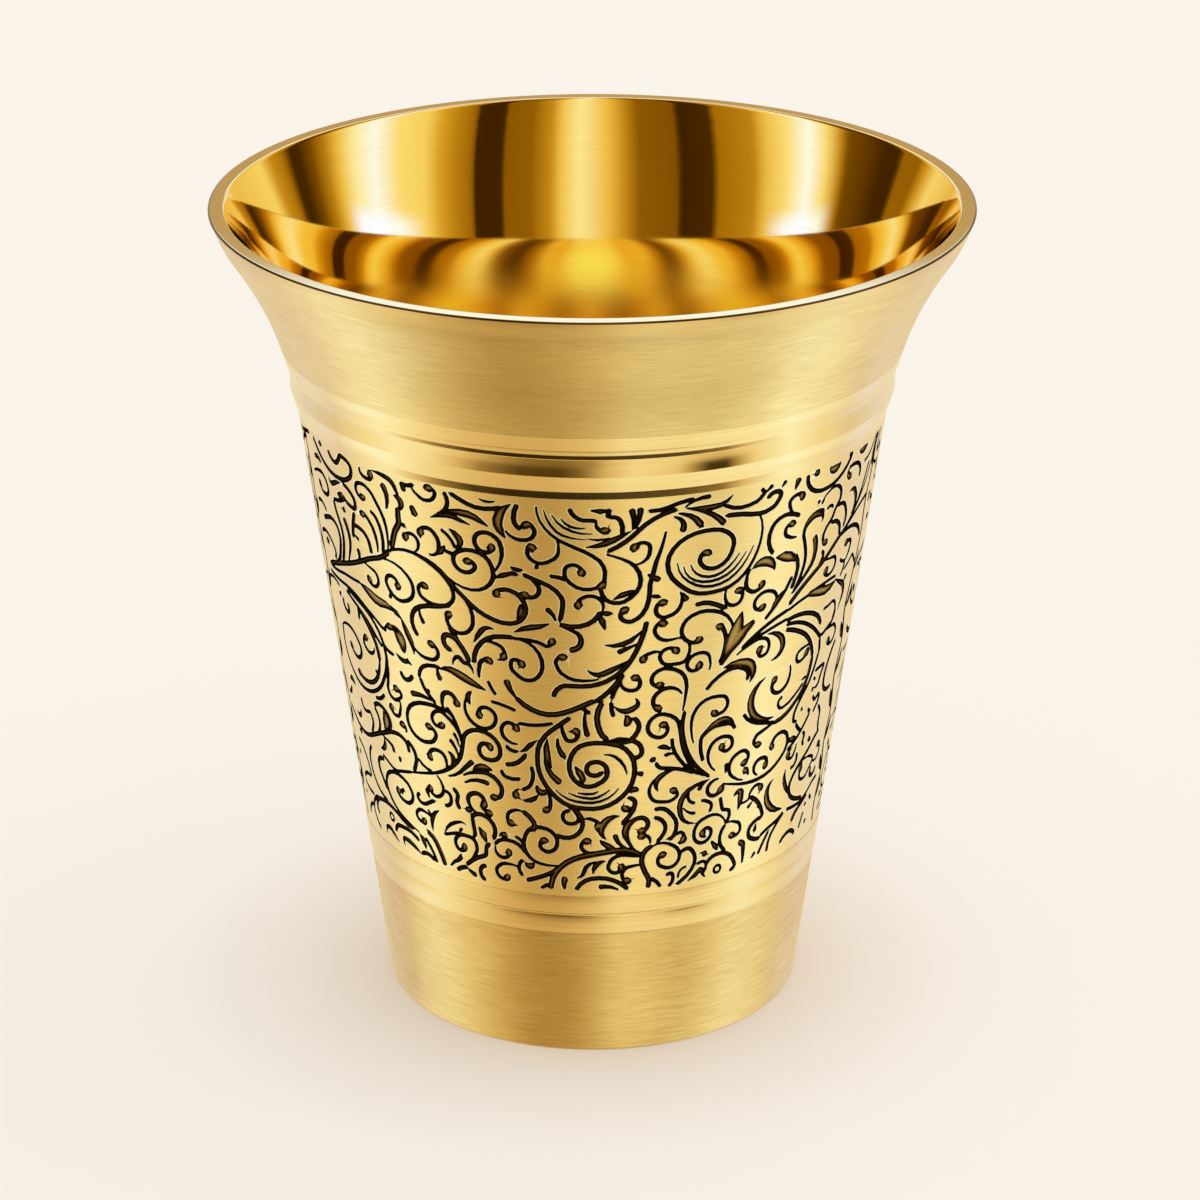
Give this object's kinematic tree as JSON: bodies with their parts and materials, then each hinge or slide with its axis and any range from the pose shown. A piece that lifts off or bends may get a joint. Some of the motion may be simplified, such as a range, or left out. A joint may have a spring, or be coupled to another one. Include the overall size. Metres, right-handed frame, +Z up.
{
  "type": "tumbler",
  "caption": "Tall flared drinking tumbler: a polished inner cup in a brushed brass outer wall with an engraved sleeve between beaded girdles.",
  "frame": {"origin": "centre of the foot, on the surface that the tumbler stands on", "axes": "+Z up along the axis of the cup, X and Y across it; the front of the engraved design faces -Y"},
  "size_m": [0.0958, 0.0958, 0.106],
  "materials": {
    "brushed_brass": "brushed round the axis",
    "rim_brass": "fine satin",
    "bead_brass": "buffed",
    "engraved_brass": "satin, engraved and blackened in the cuts",
    "polished_brass": "mirror polished",
    "base_brass": "plain turned"
  },
  "bodies": {
    "root": {"foot_band": "brushed_brass", "base_plate": "base_brass", "lower_joint_ring": "bead_brass", "lower_bead_bottom": "bead_brass", "lower_bead_top": "bead_brass", "engraved_sleeve": "engraved_brass", "upper_joint_ring": "bead_brass", "upper_bead_bottom": "bead_brass", "upper_bead_top": "bead_brass", "lip_collar": "brushed_brass", "rim_band": "rim_brass", "inner_liner": "polished_brass"}
  },
  "joints": []
}
